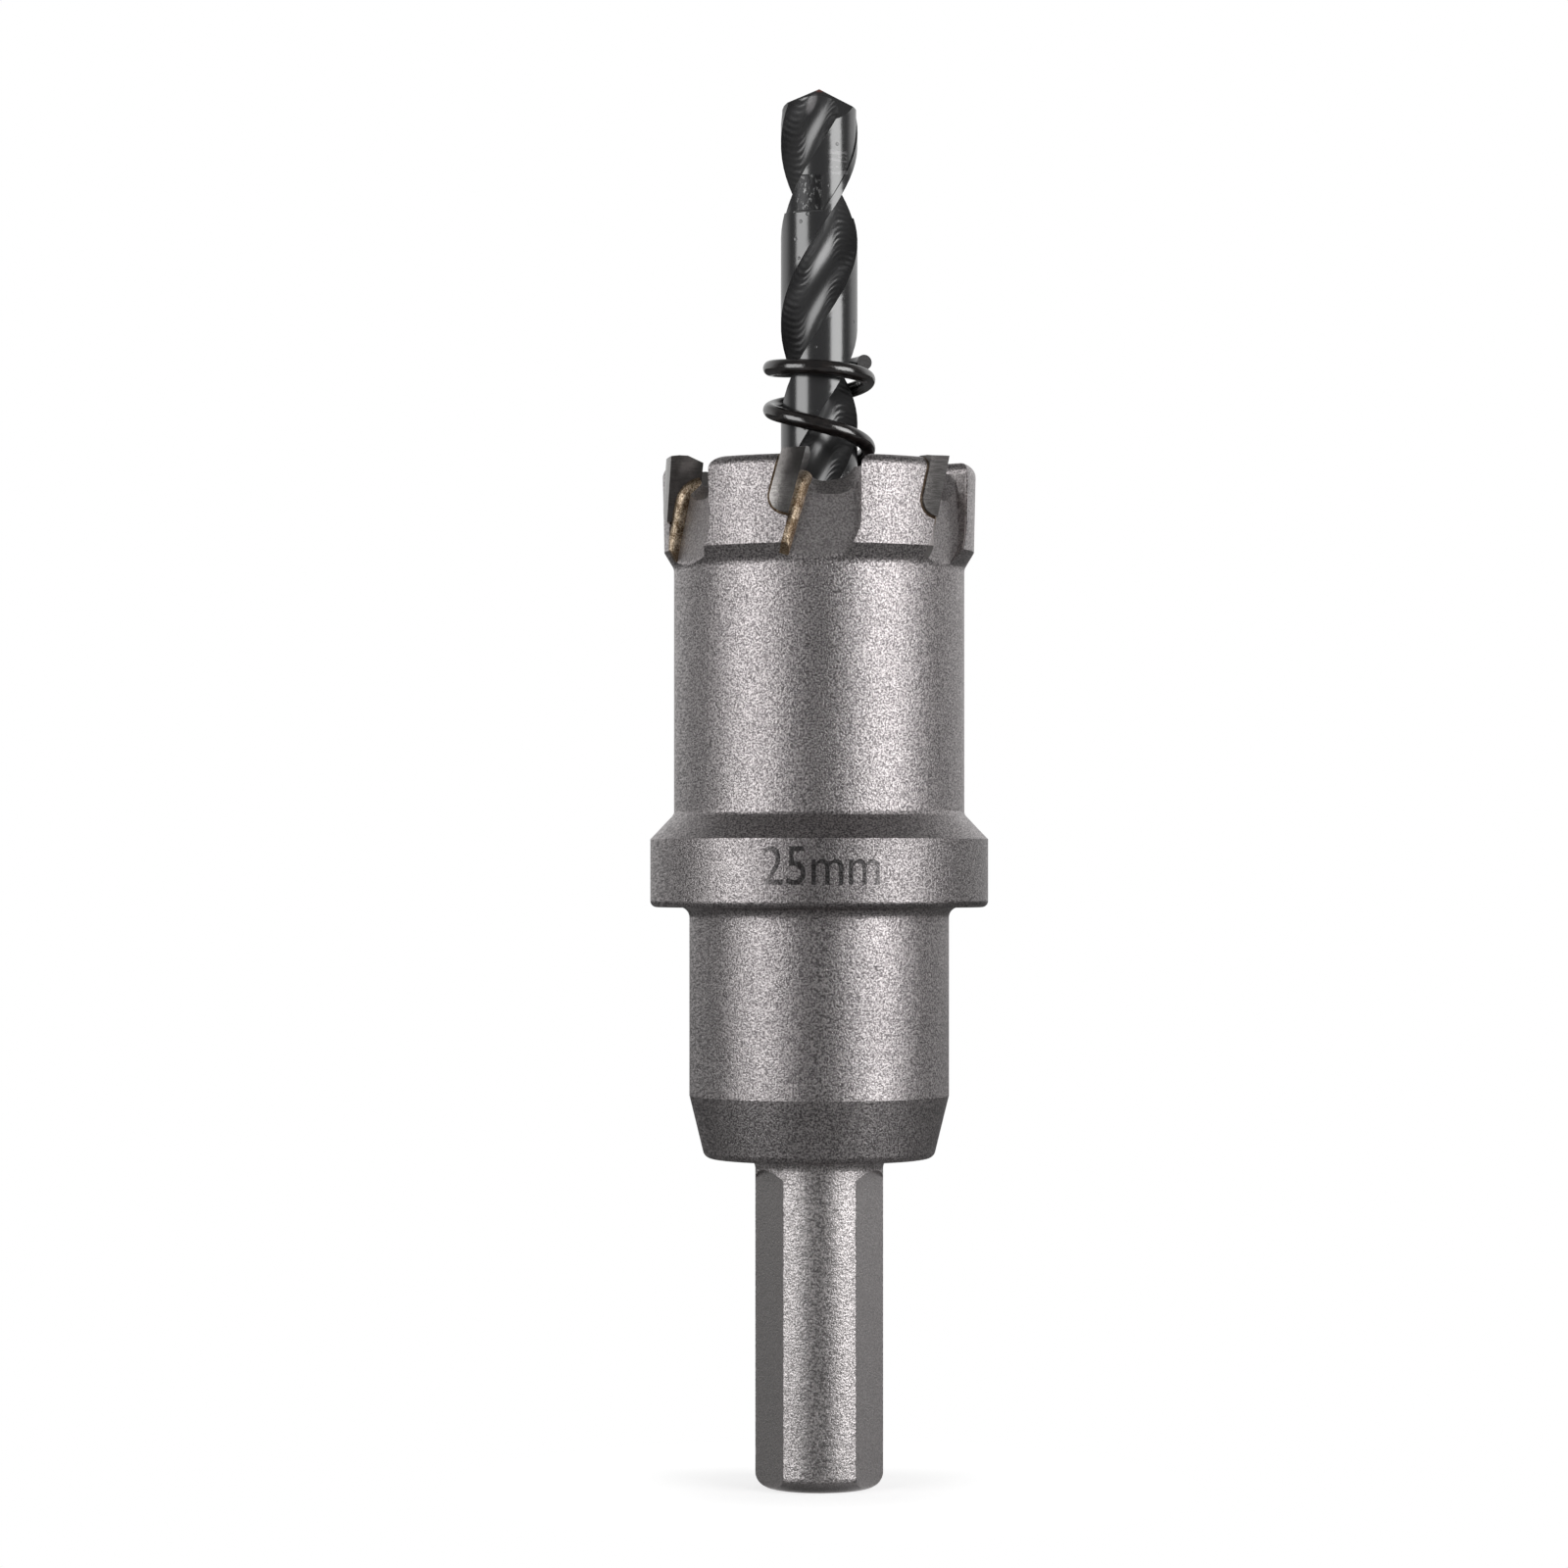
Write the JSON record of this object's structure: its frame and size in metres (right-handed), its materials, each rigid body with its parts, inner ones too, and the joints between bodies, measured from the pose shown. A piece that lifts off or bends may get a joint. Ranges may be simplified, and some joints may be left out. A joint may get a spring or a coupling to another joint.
{
  "type": "hole saw",
  "caption": "Carbide-tipped hole cutter for sheet metal: steel cup with stop collar, hub and three-flat shank, pilot drill and ejector spring.",
  "frame": {"origin": "centre of the flat end of the shank, on the tool's axis", "axes": "+Z along the tool's axis from the shank to the drill's point; -Y is the side shown to the viewer, opposite the grub screw; +X to the viewer's right"},
  "size_m": [0.0264, 0.0264, 0.1093],
  "materials": {
    "body_steel": "bead blasted",
    "carbide": "ground",
    "braze": "as run",
    "drill_steel": "gloss black oxide",
    "spring_steel": "oiled black",
    "screw_steel": "black oxide"
  },
  "bodies": {
    "root": {"cutter_body": "body_steel", "pilot_drill": "drill_steel", "ejector_spring": "spring_steel", "grub_screw": "screw_steel", "carbide_tooth_1": "carbide", "braze_seam_1": "braze", "carbide_tooth_2": "carbide", "braze_seam_2": "braze", "carbide_tooth_3": "carbide", "braze_seam_3": "braze", "carbide_tooth_4": "carbide", "braze_seam_4": "braze", "carbide_tooth_5": "carbide", "braze_seam_5": "braze", "carbide_tooth_6": "carbide", "braze_seam_6": "braze"}
  },
  "joints": []
}
